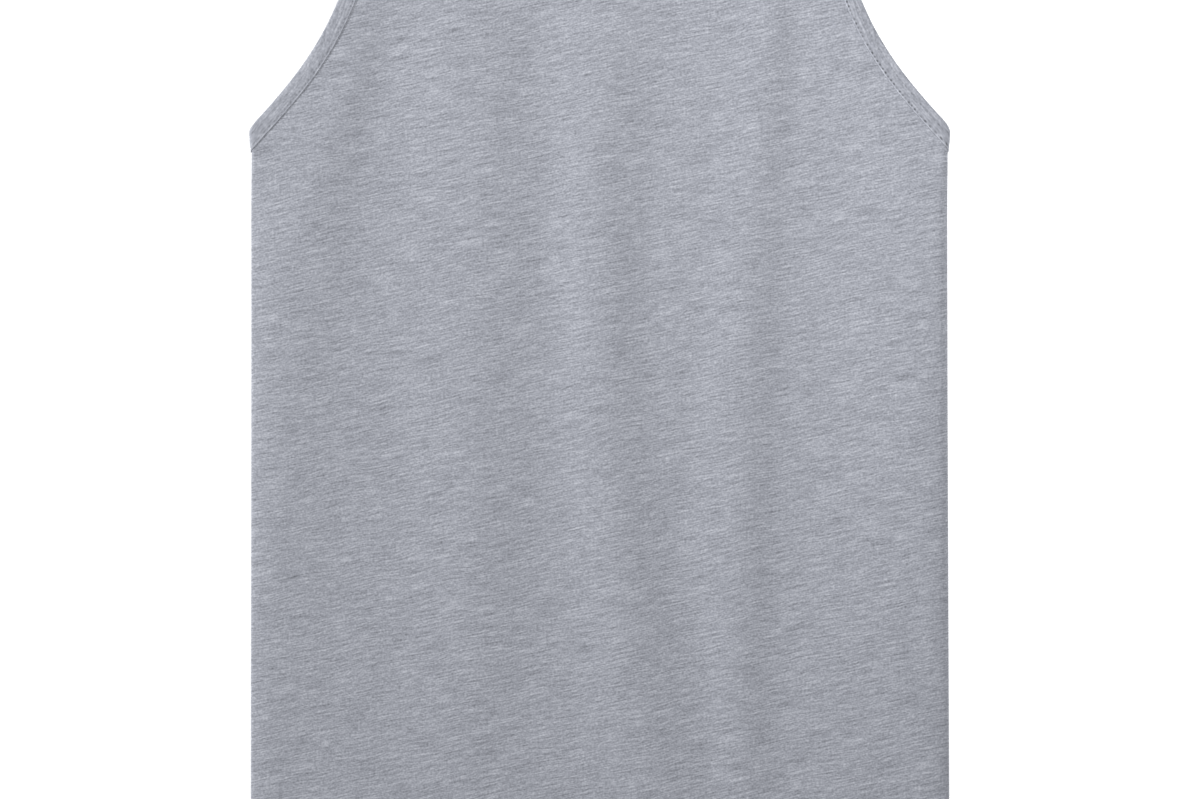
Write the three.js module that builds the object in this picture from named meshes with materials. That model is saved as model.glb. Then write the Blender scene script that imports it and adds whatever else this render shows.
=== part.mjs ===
// A plain knitted tank top laid flat on a table with its front up: a front and a back
// panel, turned up at the hem, with one binding round the neck and one round each armhole.
// Millimetres. +X is to the right seen from above, +Y runs from hem to neck, +Z is up.
// Every piece is first drawn on the flat pattern and then laid: lay() gives the place of
// a pattern point on the table, and layer() the same point lifted off the cloth's middle.
import * as THREE from "three";

// Sizes of the garment, measured flat, with the hem edge at height 0
const bodyLength = 710;
const armpitHeight = 474;
const armpitHalfWidth = 230.3;
const hemHalfWidth = 230.7;
const shoulderHalfWidth = 152;
const shoulderDrop = 22;
const neckHalfWidth = 98;
const frontNeckDrop = 127;
const backNeckDrop = 40;
const armholeSlope = 0.9;
const armholeHandle = 60;
const shoulderHandle = 130;

// Cloth, seams and trims
const wall = 1;
const gap = 0.3;
const layerStep = wall + gap;
const bindingWidth = 11;
const bindingTurn = 0.6;
const rawEdgeInset = wall + 0.5;
const hemDepth = 22;
const hemTurnRadius = layerStep / 2;
const hemTurnLength = Math.PI * hemTurnRadius;

// The front rises softly from its side seams, over the air between it and the back
const plumpHeight = 2.5;
const plumpReach = 6;

// How far a layer below lifts the cloth above it: level to liftLevel, down at liftEnd
const liftLevel = 16;
const liftEnd = 54;
const hemLiftStart = 2;
const hemLiftEnd = 10;
const shoulderPuff = 0.8;

// A binding's way into the cloth swings over this distance from a seam, and the corner of
// the armpit is eased inwards
const mitreReach = 20;
const armpitEase = 1.2;
const armpitEaseReach = 9;

// Soft folds of the front, running from hem to chest. crest is the distance of the top
// of the fold from the centre line, left and right are the widths of its two slopes.
const chestHeight = 560;
const folds = [
  { name: "left side",
    crest: { hem: -220, waist: -208, chest: -166 }, height: { hem: 1, waist: 1.8, chest: 5 },
    left: { hem: 45, waist: 55, chest: 55 }, right: { hem: 45, waist: 45, chest: 28 } },
  { name: "left chest",
    crest: { hem: -95, waist: -82, chest: -84 }, height: { hem: 0.5, waist: 3.4, chest: 3.2 },
    left: { hem: 50, waist: 65, chest: 65 }, right: { hem: 55, waist: 50, chest: 50 } },
  { name: "centre",
    crest: { hem: 38, waist: 3, chest: 3 }, height: { hem: 2.2, waist: 4.6, chest: 2.8 },
    left: { hem: 55, waist: 38, chest: 42 }, right: { hem: 50, waist: 40, chest: 45 } },
  { name: "right chest",
    crest: { hem: 96, waist: 92, chest: 113 }, height: { hem: 1.6, waist: 3.2, chest: 2.2 },
    left: { hem: 20, waist: 36, chest: 28 }, right: { hem: 24, waist: 30, chest: 22 } },
  { name: "right side",
    crest: { hem: 208, waist: 220, chest: 222 }, height: { hem: 0.4, waist: 4.8, chest: 4.6 },
    left: { hem: 95, waist: 90, chest: 90 }, right: { hem: 45, waist: 35, chest: 35 } },
];
const foldFade = { atNeck: 0.2, neckStart: 530, neckEnd: 620, atArmhole: 0.36 };

// Steps from a seam into the cloth, fine where it rolls over and then wider
const seamInset = gap / 2;
const rollSteps = [seamInset, 1, 2, 3, 4.2, 6.5, 10];
const ringSteps = [0, 1, 2, 3, 4.2, 6.5, 9, 14];
const ringSpacing = 13;
const armpitRowSpacing = 16;

const { smoothstep, lerp } = THREE.MathUtils;
const corner = (x, y) => new THREE.Vector2(x, y);

// Finished edges on the right half of the pattern, from the armpit or centre upwards
const neckPoint = corner(neckHalfWidth, bodyLength);
const shoulderPoint = corner(shoulderHalfWidth, bodyLength - shoulderDrop);
const armpitPoint = corner(armpitHalfWidth, armpitHeight);
const alongShoulder = shoulderPoint.clone().sub(neckPoint).normalize();
const shoulderUp = corner(-alongShoulder.y, alongShoulder.x);

const armholeStart = corner(-armholeSlope, 1).setLength(armholeHandle).add(armpitPoint);
const armholeEnd = shoulderPoint.clone().sub(corner(0, shoulderHandle));

// clothSide is +1 where the cloth lies to the left of the edge's direction, else -1
const armholeEdge = {
  curve: new THREE.CubicBezierCurve(armpitPoint, armholeStart, armholeEnd, shoulderPoint),
  clothSide: 1,
  startSeam: corner(0, -1),
  endSeam: alongShoulder.clone().negate(),
};
const neckEdge = (drop) => ({
  curve: new THREE.EllipseCurve(0, bodyLength, neckHalfWidth, drop, -Math.PI / 2, 0),
  clothSide: -1,
  startSeam: null,
  endSeam: alongShoulder,
});
const frontNeckEdge = neckEdge(frontNeckDrop);
const backNeckEdge = neckEdge(backNeckDrop);

// An edge's point at a distance along it, and the way into the cloth from there. Near a
// seam that way swings round to lie along the seam, and lengthens as a mitre does. ease is
// how far the corner at the armpit is rounded off.
function edgeAt(edge, distance) {
  const length = edge.curve.getLength();
  const share = distance / length;
  const point = edge.curve.getPointAt(share);
  const tangent = edge.curve.getTangentAt(share);
  const inward = corner(-tangent.y, tangent.x).multiplyScalar(edge.clothSide);
  const ends = [
    { seam: edge.startSeam, from: distance },
    { seam: edge.endSeam, from: length - distance },
  ];
  for (const { seam, from } of ends) {
    if (!seam || from >= mitreReach) continue;
    const swing = Math.atan2(inward.cross(seam), inward.dot(seam));
    const angle = swing * (1 - smoothstep(from, 0, mitreReach));
    inward.rotateAround(corner(0, 0), angle).divideScalar(Math.cos(angle));
  }
  const ease = edge === armholeEdge ? armpitEase * (1 - smoothstep(distance, 0, armpitEaseReach)) : 0;
  return { point, inward, ease };
}

const insetFrom = ({ point, inward, ease }, inset) =>
  point.clone().addScaledVector(inward, inset + ease * (1 - inset / bindingWidth));
const onEdge = (edge, distance, inset) => insetFrom(edgeAt(edge, distance), inset);

// How close a pattern point is to a bound edge: 1 under its binding, 0 well away
const distanceToPath = (path, point) => {
  let nearest = Infinity;
  for (let i = 1; i < path.length; i++) {
    const along = path[i].clone().sub(path[i - 1]);
    const offset = point.clone().sub(path[i - 1]);
    const share = THREE.MathUtils.clamp(offset.dot(along) / along.lengthSq(), 0, 1);
    nearest = Math.min(nearest, offset.distanceTo(along.multiplyScalar(share)));
  }
  return nearest;
};
const closeness = (distance) => 1 - smoothstep(distance, liftLevel, liftEnd);
const either = (...shares) => 1 - shares.reduce((rest, share) => rest * (1 - share), 1);

const pathPoints = 40;
const armholePath = armholeEdge.curve.getSpacedPoints(pathPoints);
const frontNeckPath = frontNeckEdge.curve.getSpacedPoints(pathPoints);
const backNeckPath = backNeckEdge.curve.getSpacedPoints(pathPoints);

// A fold's value at a share of the way up, on a smooth bow through hem, waist and chest
function onBow({ hem, waist, chest }, up) {
  return 2 * hem * (up - 0.5) * (up - 1) + 4 * waist * up * (1 - up) + 2 * chest * up * (up - 0.5);
}

// Height of the soft folds at a pattern point
function foldHeight(x, y) {
  const up = THREE.MathUtils.clamp(y / chestHeight, 0, 1);
  let height = 0;
  for (const { crest, left, right, height: top } of folds) {
    const offset = x - onBow(crest, up);
    const reach = Math.min(Math.abs(offset) / onBow(offset < 0 ? left : right, up), 1);
    height += (Math.max(onBow(top, up), 0) * (1 + Math.cos(Math.PI * reach))) / 2;
  }
  return height * lerp(1, foldFade.atNeck, smoothstep(y, foldFade.neckStart, foldFade.neckEnd));
}

const sideSeam = (y) => lerp(hemHalfWidth, armpitHalfWidth, Math.min(y / armpitHeight, 1));

// Heights of the middle of the front's and the back's cloth above the table
function levels(x, y) {
  const point = corner(Math.abs(x), y);
  const belowShoulder = neckPoint.clone().sub(point).dot(shoulderUp);
  const strapEnd = closeness(belowShoulder + liftLevel / 2);
  const armhole = closeness(distanceToPath(armholePath, point));
  const overBack = either(armhole, strapEnd, closeness(distanceToPath(backNeckPath, point)));
  const onFront = either(armhole, strapEnd, closeness(distanceToPath(frontNeckPath, point)));
  const hem = 1 - smoothstep(y, hemDepth + hemLiftStart, hemDepth + hemLiftEnd);
  const steps = 1 + 2 * overBack + onFront + 2 * hem;
  const fold = foldHeight(x, y) * lerp(1, foldFade.atArmhole, armhole);
  const fromSide = Math.max(sideSeam(y) - point.x, 0);
  const plump = plumpHeight * (1 - Math.exp(-fromSide / plumpReach)) * (1 - onFront) * (1 - hem);
  return {
    back: wall / 2 + layerStep * overBack,
    front: wall / 2 + layerStep * steps + shoulderPuff * strapEnd + plump + fold,
  };
}

// Cloth that rolls over a fold as a quarter circle: how far it has turned up, from 0 at
// the seam to 1 on the level, and how far it is drawn in towards the body
function rollOver(distance, radius) {
  const turn = THREE.MathUtils.clamp(distance / radius, 0, Math.PI / 2);
  return { rise: Math.sin(turn), drawIn: (Math.PI / 2 - turn - Math.cos(turn)) * radius };
}

// face is +1 on the front and -1 on the back
function surface(face, x, y) {
  const { front, back } = levels(x, y);
  const radius = (front - back) / 2;
  const point = corner(Math.abs(x), y);
  const side = rollOver(sideSeam(y) - point.x, radius);
  const shoulder = rollOver(neckPoint.clone().sub(point).dot(shoulderUp), radius);
  point.x -= side.drawIn;
  point.addScaledVector(shoulderUp, -shoulder.drawIn);
  const height = (front + back) / 2 + face * radius * side.rise * shoulder.rise;
  return new THREE.Vector3(point.x * (x < 0 ? -1 : 1), point.y, height);
}

// The outward normal of a laid surface, by small steps that stay on the panel
function normalOf(place, face, x, y) {
  const step = 0.01;
  const inStep = x > 0 ? -step : step;
  const here = place(face, x, y);
  const across = place(face, x + inStep, y).sub(here).multiplyScalar(Math.sign(inStep));
  const along = place(face, x, y - step).sub(here).negate();
  return across.cross(along).normalize().multiplyScalar(face);
}

// A negative y is the hem's turn-up, which goes round the hem edge and back up inside
function lay(face, x, y) {
  if (y >= 0) return surface(face, x, y);
  const turn = Math.min(-y / hemTurnRadius, Math.PI);
  const depth = hemTurnRadius * (1 - Math.cos(turn));
  const up = Math.max(-y - hemTurnLength, 0);
  const point = surface(face, x, up);
  point.y -= hemTurnRadius * Math.sin(turn);
  return point.addScaledVector(normalOf(surface, face, x, up), -depth);
}

const layer = (face, x, y, height) =>
  lay(face, x, y).addScaledVector(normalOf(lay, face, x, y), height);

// A triangle mesh from points and faces, turned so that its faces point out
function closedMesh(points, triangles) {
  let volume = 0;
  for (const [a, b, c] of triangles) volume += points[a].clone().cross(points[b]).dot(points[c]);
  const outward = volume > 0 ? triangles : triangles.map(([a, b, c]) => [a, c, b]);
  const geometry = new THREE.BufferGeometry().setFromPoints(points);
  geometry.setIndex(outward.flat());
  geometry.computeVertexNormals();
  return geometry;
}

// Rows of pattern points, joined in strips and given a wall's thickness
class Cloth {
  pattern = [];
  squares = [];

  row(points) {
    return points.map((point) => this.pattern.push(point) - 1);
  }

  strips(rows) {
    for (let i = 1; i < rows.length; i++) {
      const [below, above] = [rows[i - 1], rows[i]];
      for (let k = 1; k < above.length; k++)
        this.squares.push([below[k - 1], below[k], above[k], above[k - 1]]);
    }
  }

  // The edges that only one square uses, each in its square's direction
  rim() {
    const edges = new Map();
    for (const square of this.squares)
      square.forEach((from, i) => edges.set(`${from} ${square[(i + 1) % 4]}`, [from, square[(i + 1) % 4]]));
    return [...edges.values()].filter(([from, to]) => !edges.has(`${to} ${from}`));
  }

  wallMesh(face) {
    const outside = this.pattern.map(({ x, y }) => layer(face, x, y, wall / 2));
    const inside = this.pattern.map(({ x, y }) => layer(face, x, y, -wall / 2));
    const count = this.pattern.length;
    const triangles = [];
    for (const [a, b, c, d] of this.squares) {
      triangles.push([a, b, c], [a, c, d]);
      triangles.push([count + a, count + c, count + b], [count + a, count + d, count + c]);
    }
    for (const [from, to] of this.rim())
      triangles.push([to, from, count + from], [to, count + from, count + to]);
    return closedMesh([...outside, ...inside], triangles);
  }
}

// Even steps from one value to another, both ends included
const evenSteps = (from, to, spacing) => {
  const count = Math.ceil(Math.abs(to - from) / spacing);
  return Array.from({ length: count + 1 }, (_, i) => lerp(from, to, i / count));
};

const mirrored = (points) => points.map(({ x, y }) => corner(-x, y));
const between = (start, end, share) => start.clone().lerp(end, share);

// One panel of cloth. Its skirt is straight rows from the hem to the armpit, its chest
// rows bend up to the neck's bottom curve, and its two straps go on to the shoulders.
function panelMesh(face, neck, plan) {
  const cloth = new Cloth();
  const armpitSeam = onEdge(armholeEdge, 0, rawEdgeInset);
  const fromSeam = [...rollSteps, ...evenSteps(rollSteps.at(-1), armpitHalfWidth, plan.column).slice(1)];
  const strapColumns = plan.strapColumns;
  const columns = 2 * (fromSeam.length - 1);

  const straightRow = (y) => {
    const right = fromSeam.map((inset) => corner(Math.max(sideSeam(Math.max(y, 0)) - inset, 0), y));
    right[right.length - 1].x = 0;
    return [...mirrored(right), ...right.slice(0, -1).reverse()];
  };

  // The turn-up, then the skirt, with closer rows at the hem and the armpit
  const turnUp = [-hemTurnLength - hemDepth, -hemTurnLength - hemDepth / 2];
  const turn = [1, 2 / 3, 1 / 3].map((share) => -hemTurnLength * share);
  const hemLift = [hemLiftStart, (hemLiftStart + hemLiftEnd) / 2, hemLiftEnd];
  const hemRows = [0, hemDepth / 2, ...hemLift.map((rise) => hemDepth + rise)];
  const nearArmpit = armpitSeam.y - liftEnd;
  const skirtRows = evenSteps(hemRows.at(-1), nearArmpit, plan.row).slice(1);
  const armpitRows = evenSteps(nearArmpit, armpitSeam.y, armpitRowSpacing).slice(1);
  const heights = [...turnUp, ...turn, ...hemRows, ...skirtRows, ...armpitRows];
  const skirt = heights.map((y) => cloth.row(straightRow(y)));
  cloth.strips(skirt);

  // The row where the straps leave the chest runs down along the neck's raw edge
  const armholeLength = armholeEdge.curve.getLength();
  const neckLength = neck.curve.getLength();
  const neckColumns = columns / 2 - strapColumns;
  const strapFoot = plan.armholeShare * armholeLength;
  const neckFoot = plan.neckShare * neckLength;
  const armholeFoot = onEdge(armholeEdge, strapFoot, rawEdgeInset);
  const neckFootPoint = onEdge(neck, neckFoot, rawEdgeInset);
  const rightTop = Array.from({ length: columns / 2 + 1 }, (_, k) =>
    k <= strapColumns
      ? between(armholeFoot, neckFootPoint, k / strapColumns)
      : onEdge(neck, neckFoot * (1 - (k - strapColumns) / neckColumns), rawEdgeInset));
  rightTop.at(-1).x = 0;
  const topRow = [...mirrored(rightTop), ...rightTop.slice(0, -1).reverse()];
  const bottomRow = straightRow(armpitSeam.y);

  // Chest rows: between those two rows, bowed so that each end stays on the armhole
  const chestRise = evenSteps(ringSteps.at(-1), strapFoot, plan.chestRow).slice(1);
  const chestSteps = [...ringSteps.slice(1), ...chestRise];
  const chest = chestSteps.map((distance) => {
    const share = distance / strapFoot;
    const edge = onEdge(armholeEdge, distance, rawEdgeInset);
    const bow = edge.sub(between(bottomRow.at(-1), topRow.at(-1), share));
    return cloth.row(topRow.map((top, k) => {
      const rightward = (2 * k) / columns - 1;
      return between(bottomRow[k], top, share).add(corner(bow.x * rightward, bow.y));
    }));
  });
  cloth.strips([skirt.at(-1), ...chest]);

  // Strap rows, fine again where the strap rolls over at the shoulder seam
  const strapLength = armholeLength - strapFoot;
  const straight = evenSteps(0, strapLength - ringSteps.at(-1), plan.chestRow).slice(1);
  const rolled = rollSteps.map((step) => strapLength - step).reverse();
  const strapSteps = [...straight, ...rolled];
  const strapRow = (distance) => {
    const share = distance / strapLength;
    const outer = onEdge(armholeEdge, strapFoot + distance, rawEdgeInset);
    const inner = onEdge(neck, lerp(neckFoot, neckLength, share), rawEdgeInset);
    return Array.from({ length: strapColumns + 1 }, (_, k) => between(outer, inner, k / strapColumns));
  };
  const chestTop = chest.at(-1);
  const rightFoot = chestTop.slice(-strapColumns - 1).reverse();
  const leftFoot = chestTop.slice(0, strapColumns + 1);
  const rightRows = [rightFoot, ...strapSteps.map((step) => cloth.row(strapRow(step)))];
  const leftRows = [leftFoot, ...strapSteps.map((step) => cloth.row(mirrored(strapRow(step))))];
  cloth.strips(rightRows.map((row) => [...row].reverse()));
  cloth.strips(leftRows);
  return cloth.wallMesh(face);
}

// The binding's section, open towards the cloth: inset from the finished edge, and
// height off the middle of the panel that it clasps
const legOut = wall / 2 + gap + wall;
const legIn = wall / 2 + gap;
const bindingSection = [
  [bindingWidth, legIn],
  [bindingWidth, legOut],
  [bindingTurn, legOut],
  [0, legOut - bindingTurn],
  [0, bindingTurn - legOut],
  [bindingTurn, -legOut],
  [bindingWidth, -legOut],
  [bindingWidth, -legIn],
  [wall, -legIn],
  [wall, legIn],
];

// Distances along an edge, close together next to its seams
function ringDistances(edge) {
  const length = edge.curve.getLength();
  const start = edge.startSeam ? ringSteps : [0];
  const end = ringSteps.map((step) => length - step).reverse();
  return [...start, ...evenSteps(start.at(-1), end[0], ringSpacing).slice(1, -1), ...end];
}

// A ring of sections that follows the front's edge one way and the back's edge back
function bindingMesh(stations) {
  const points = stations.flatMap((station) =>
    bindingSection.map(([inset, height]) => {
      const at = insetFrom(station, inset);
      return layer(station.face, station.side * at.x, at.y, height);
    }));
  const count = bindingSection.length;
  const triangles = [];
  stations.forEach((_, i) => {
    const here = i * count;
    const next = ((i + 1) % stations.length) * count;
    for (let k = 0; k < count; k++) {
      const up = (k + 1) % count;
      triangles.push([here + k, next + k, next + up], [here + k, next + up, here + up]);
    }
  });
  return closedMesh(points, triangles);
}

function stationsOn(edge, face, side) {
  return ringDistances(edge).map((distance) => ({ face, side, ...edgeAt(edge, distance) }));
}

// Each ring leaves out the second station at a place where two of its runs meet
function armholeRing(side) {
  const up = stationsOn(armholeEdge, 1, side);
  const down = stationsOn(armholeEdge, -1, side).reverse();
  return [...up, ...down.slice(1, -1)];
}

function neckRing() {
  const frontLeft = stationsOn(frontNeckEdge, 1, -1).reverse();
  const frontRight = stationsOn(frontNeckEdge, 1, 1).slice(1);
  const backRight = stationsOn(backNeckEdge, -1, 1).reverse().slice(1);
  const backLeft = stationsOn(backNeckEdge, -1, -1).slice(1, -1);
  return [...frontLeft, ...frontRight, ...backRight, ...backLeft];
}

const heatherGrey = new THREE.Color().setRGB(0.36, 0.375, 0.425);
const jersey = new THREE.MeshStandardMaterial({ color: heatherGrey, roughness: 0.95, metalness: 0 });
const binding = new THREE.MeshStandardMaterial({ color: heatherGrey, roughness: 0.92, metalness: 0 });

const tankTop = new THREE.Group();
function addPiece(name, geometry, material) {
  const piece = new THREE.Mesh(geometry, material);
  piece.name = name;
  tankTop.add(piece);
}

const frontPlan = {
  column: 14.2, row: 47, chestRow: 16, strapColumns: 10, armholeShare: 0.7, neckShare: 0.6,
};
const backPlan = {
  column: 22, row: 76, chestRow: 20, strapColumns: 8, armholeShare: 0.84, neckShare: 0.7,
};
addPiece("front_panel", panelMesh(1, frontNeckEdge, frontPlan), jersey);
addPiece("back_panel", panelMesh(-1, backNeckEdge, backPlan), jersey);
addPiece("neck_binding", bindingMesh(neckRing()), binding);
addPiece("left_armhole_binding", bindingMesh(armholeRing(-1)), binding);
addPiece("right_armhole_binding", bindingMesh(armholeRing(1)), binding);

// The part's origin is the middle of the ground it covers
const bounds = new THREE.Box3().setFromObject(tankTop);
const middle = bounds.getCenter(new THREE.Vector3());
tankTop.position.set(-middle.x, -middle.y, -bounds.min.z);

export default tankTop;
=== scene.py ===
import math

import bpy
import numpy as np
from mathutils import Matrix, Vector


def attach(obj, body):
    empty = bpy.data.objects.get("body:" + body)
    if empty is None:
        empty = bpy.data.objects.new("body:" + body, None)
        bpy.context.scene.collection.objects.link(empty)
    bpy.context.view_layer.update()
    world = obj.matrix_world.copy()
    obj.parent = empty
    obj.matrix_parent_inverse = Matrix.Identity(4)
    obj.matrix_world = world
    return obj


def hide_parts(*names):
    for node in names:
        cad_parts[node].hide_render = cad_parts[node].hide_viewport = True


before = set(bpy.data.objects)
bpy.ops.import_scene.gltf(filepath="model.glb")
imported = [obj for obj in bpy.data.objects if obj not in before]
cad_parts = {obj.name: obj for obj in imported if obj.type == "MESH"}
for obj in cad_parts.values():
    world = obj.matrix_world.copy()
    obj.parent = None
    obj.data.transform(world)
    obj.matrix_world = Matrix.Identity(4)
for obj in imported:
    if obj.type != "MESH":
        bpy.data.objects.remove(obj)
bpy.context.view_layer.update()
print("frame loaded")

# The garment measured flat, in millimetres, with the hem edge at height 0.
# middleY is the height of the frame's origin on that measure.
garment = {
    "bodyLength": 710,
    "armpitHeight": 474,
    "armpitHalfWidth": 230.3,
    "hemHalfWidth": 230.7,
    "shoulderHalfWidth": 152,
    "shoulderDrop": 22,
    "neckHalfWidth": 98,
    "frontNeckDrop": 127,
    "backNeckDrop": 40,
    "armholeSlope": 0.9,
    "armholeHandle": 60,
    "shoulderHandle": 130,
    "wall": 1.0,
    "gap": 0.3,
    "hemDepth": 22,
    "middleY": 354.4,
}

# The front rises softly from its side seams, over the air between it and the back
plump = {"height": 2.5, "reach": 6}

# How far what lies below lifts the cloth above it
lift = {"level": 16, "end": 54, "hemStart": 2, "hemEnd": 10, "shoulderPuff": 0.8}

# Soft folds of the front. crest is the distance of the fold's top from the centre line,
# left and right are the widths of its two slopes, each at the hem, the waist and the chest.
# The values began as a fit to soft shading, rounded, and were then changed.
folds = [
    {"name": "left side", "crest": (-220, -208, -166), "height": (1, 1.8, 5),
     "left": (45, 55, 55), "right": (45, 45, 28)},
    {"name": "left chest", "crest": (-95, -82, -84), "height": (0.5, 3.4, 3.2),
     "left": (50, 65, 65), "right": (55, 50, 50)},
    {"name": "centre", "crest": (38, 3, 3), "height": (2.2, 4.6, 2.8),
     "left": (55, 38, 42), "right": (50, 40, 45)},
    {"name": "right chest", "crest": (96, 92, 113), "height": (1.6, 3.2, 2.2),
     "left": (20, 36, 28), "right": (24, 30, 22)},
    {"name": "right side", "crest": (208, 220, 222), "height": (0.4, 4.8, 4.6),
     "left": (95, 90, 90), "right": (45, 35, 35)},
]
chestHeight = 560
foldFade = {"atNeck": 0.2, "neckStart": 530, "neckEnd": 620, "atArmhole": 0.36}

layerStep = garment["wall"] + garment["gap"]
hemRadius = layerStep / 2
hemTurn = math.pi * hemRadius
mitreReach = 20
armpitEase = {"most": 1.2, "reach": 9}
rawAir = 0.5
rawInset = garment["wall"] + rawAir
bindingWidth = 11
curvePoints = 600
pathStep = 12


def smooth(value, low, high):
    share = np.clip((value - low) / (high - low), 0, 1)
    return share * share * (3 - 2 * share)


def blend(start, end, share):
    return start + (end - start) * share


def unit(vectors):
    return vectors / np.linalg.norm(vectors, axis=-1, keepdims=True)


neckPoint = np.array([garment["neckHalfWidth"], garment["bodyLength"]], float)
shoulderPoint = np.array([garment["shoulderHalfWidth"],
                          garment["bodyLength"] - garment["shoulderDrop"]], float)
alongShoulder = unit(shoulderPoint - neckPoint)
shoulderUp = np.array([-alongShoulder[1], alongShoulder[0]])


# A finished edge of the right half of the pattern, as points close together with the
# distance along them. clothSide is +1 where the cloth lies to the left of its direction.
def makeEdge(points, clothSide, startSeam, endSeam):
    steps = np.linalg.norm(np.diff(points, axis=0), axis=1)
    along = np.concatenate([[0], np.cumsum(steps)])
    tangents = unit(np.gradient(points, along, axis=0))
    return {"points": points, "along": along, "tangents": tangents, "length": along[-1],
            "clothSide": clothSide, "startSeam": startSeam, "endSeam": endSeam, "ease": 0}


def armholePoints():
    t = np.linspace(0, 1, curvePoints)[:, None]
    start = np.array([garment["armpitHalfWidth"], garment["armpitHeight"]], float)
    first = start + unit(np.array([-garment["armholeSlope"], 1.0])) * garment["armholeHandle"]
    second = shoulderPoint - np.array([0, garment["shoulderHandle"]])
    return ((1 - t) ** 3 * start + 3 * (1 - t) ** 2 * t * first
            + 3 * (1 - t) * t ** 2 * second + t ** 3 * shoulderPoint)


def neckPoints(drop):
    t = np.linspace(-math.pi / 2, 0, curvePoints)
    return np.stack([garment["neckHalfWidth"] * np.cos(t), garment["bodyLength"] + drop * np.sin(t)], 1)


armhole = makeEdge(armholePoints(), 1, np.array([0.0, -1.0]), -alongShoulder)
armhole["ease"] = armpitEase["most"]
frontNeck = makeEdge(neckPoints(garment["frontNeckDrop"]), -1, None, alongShoulder)
backNeck = makeEdge(neckPoints(garment["backNeckDrop"]), -1, None, alongShoulder)


# Points of an edge and the way into the cloth, which swings along the seam at a mitre
def edgeAt(edge, distance):
    distance = np.atleast_1d(np.asarray(distance, float))
    along = edge["along"]
    point = np.stack([np.interp(distance, along, edge["points"][:, k]) for k in (0, 1)], 1)
    tangent = unit(np.stack([np.interp(distance, along, edge["tangents"][:, k]) for k in (0, 1)], 1))
    inward = np.stack([-tangent[:, 1], tangent[:, 0]], 1) * edge["clothSide"]
    for seam, away in ((edge["startSeam"], distance), (edge["endSeam"], edge["length"] - distance)):
        if seam is None:
            continue
        swing = np.arctan2(inward[:, 0] * seam[1] - inward[:, 1] * seam[0], inward @ seam)
        angle = swing * (1 - smooth(away, 0, mitreReach))
        cosine, sine = np.cos(angle), np.sin(angle)
        turned = np.stack([inward[:, 0] * cosine - inward[:, 1] * sine,
                           inward[:, 0] * sine + inward[:, 1] * cosine], 1)
        inward = turned / cosine[:, None]
    return point, inward


# The corner at the armpit is rounded off a little: there the insets are squeezed inwards
def easedInset(edge, distance, inset):
    ease = edge["ease"] * (1 - smooth(np.asarray(distance, float), 0, armpitEase["reach"]))
    return inset + ease * (1 - np.asarray(inset, float) / bindingWidth)


# A pattern point at a distance along an edge and an inset from it
def onEdge(edge, distance, inset):
    point, inward = edgeAt(edge, distance)
    return point + inward * easedInset(edge, distance, inset).reshape(-1, 1)


def distanceTo(edge, point):
    path = edge["points"][::pathStep]
    nearest = np.full(len(point), np.inf)
    for start, end in zip(path[:-1], path[1:]):
        step = end - start
        share = np.clip((point - start) @ step / (step @ step), 0, 1)
        nearest = np.minimum(nearest, np.linalg.norm(point - start - share[:, None] * step, axis=1))
    return nearest


def closeness(distance):
    return 1 - smooth(distance, lift["level"], lift["end"])


# A fold's value at a share of the way up, on a smooth bow through hem, waist and chest
def onBow(values, up):
    hem, waist, chest = values
    return 2 * hem * (up - 0.5) * (up - 1) + 4 * waist * up * (1 - up) + 2 * chest * up * (up - 0.5)


def foldHeight(x, y):
    up = np.clip(y / chestHeight, 0, 1)
    height = np.zeros(len(x))
    for fold in folds:
        offset = x - onBow(fold["crest"], up)
        width = np.where(offset < 0, onBow(fold["left"], up), onBow(fold["right"], up))
        reach = np.minimum(np.abs(offset) / width, 1)
        height += np.maximum(onBow(fold["height"], up), 0) * (1 + np.cos(math.pi * reach)) / 2
    return height * blend(1, foldFade["atNeck"], smooth(y, foldFade["neckStart"], foldFade["neckEnd"]))


def sideSeam(y):
    up = np.clip(y / garment["armpitHeight"], None, 1)
    return blend(garment["hemHalfWidth"], garment["armpitHalfWidth"], up)


# Heights of the middle of the front's and the back's cloth above the table
def levels(x, y):
    point = np.stack([np.abs(x), y], 1)
    strapEnd = closeness((neckPoint - point) @ shoulderUp + lift["level"] / 2)
    nearArmhole = closeness(distanceTo(armhole, point))
    overBack = 1 - (1 - nearArmhole) * (1 - strapEnd) * (1 - closeness(distanceTo(backNeck, point)))
    onFront = 1 - (1 - nearArmhole) * (1 - strapEnd) * (1 - closeness(distanceTo(frontNeck, point)))
    hem = 1 - smooth(y, garment["hemDepth"] + lift["hemStart"], garment["hemDepth"] + lift["hemEnd"])
    steps = 1 + 2 * overBack + onFront + 2 * hem
    fold = foldHeight(x, y) * blend(1, foldFade["atArmhole"], nearArmhole)
    fromSide = np.maximum(sideSeam(y) - np.abs(x), 0)
    puff = plump["height"] * (1 - np.exp(-fromSide / plump["reach"])) * (1 - onFront) * (1 - hem)
    back = garment["wall"] / 2 + layerStep * overBack
    front = garment["wall"] / 2 + layerStep * steps + lift["shoulderPuff"] * strapEnd + puff + fold
    return front, back


def rollOver(distance, radius):
    turn = np.clip(distance / radius, 0, math.pi / 2)
    return np.sin(turn), (math.pi / 2 - turn - np.cos(turn)) * radius


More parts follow.
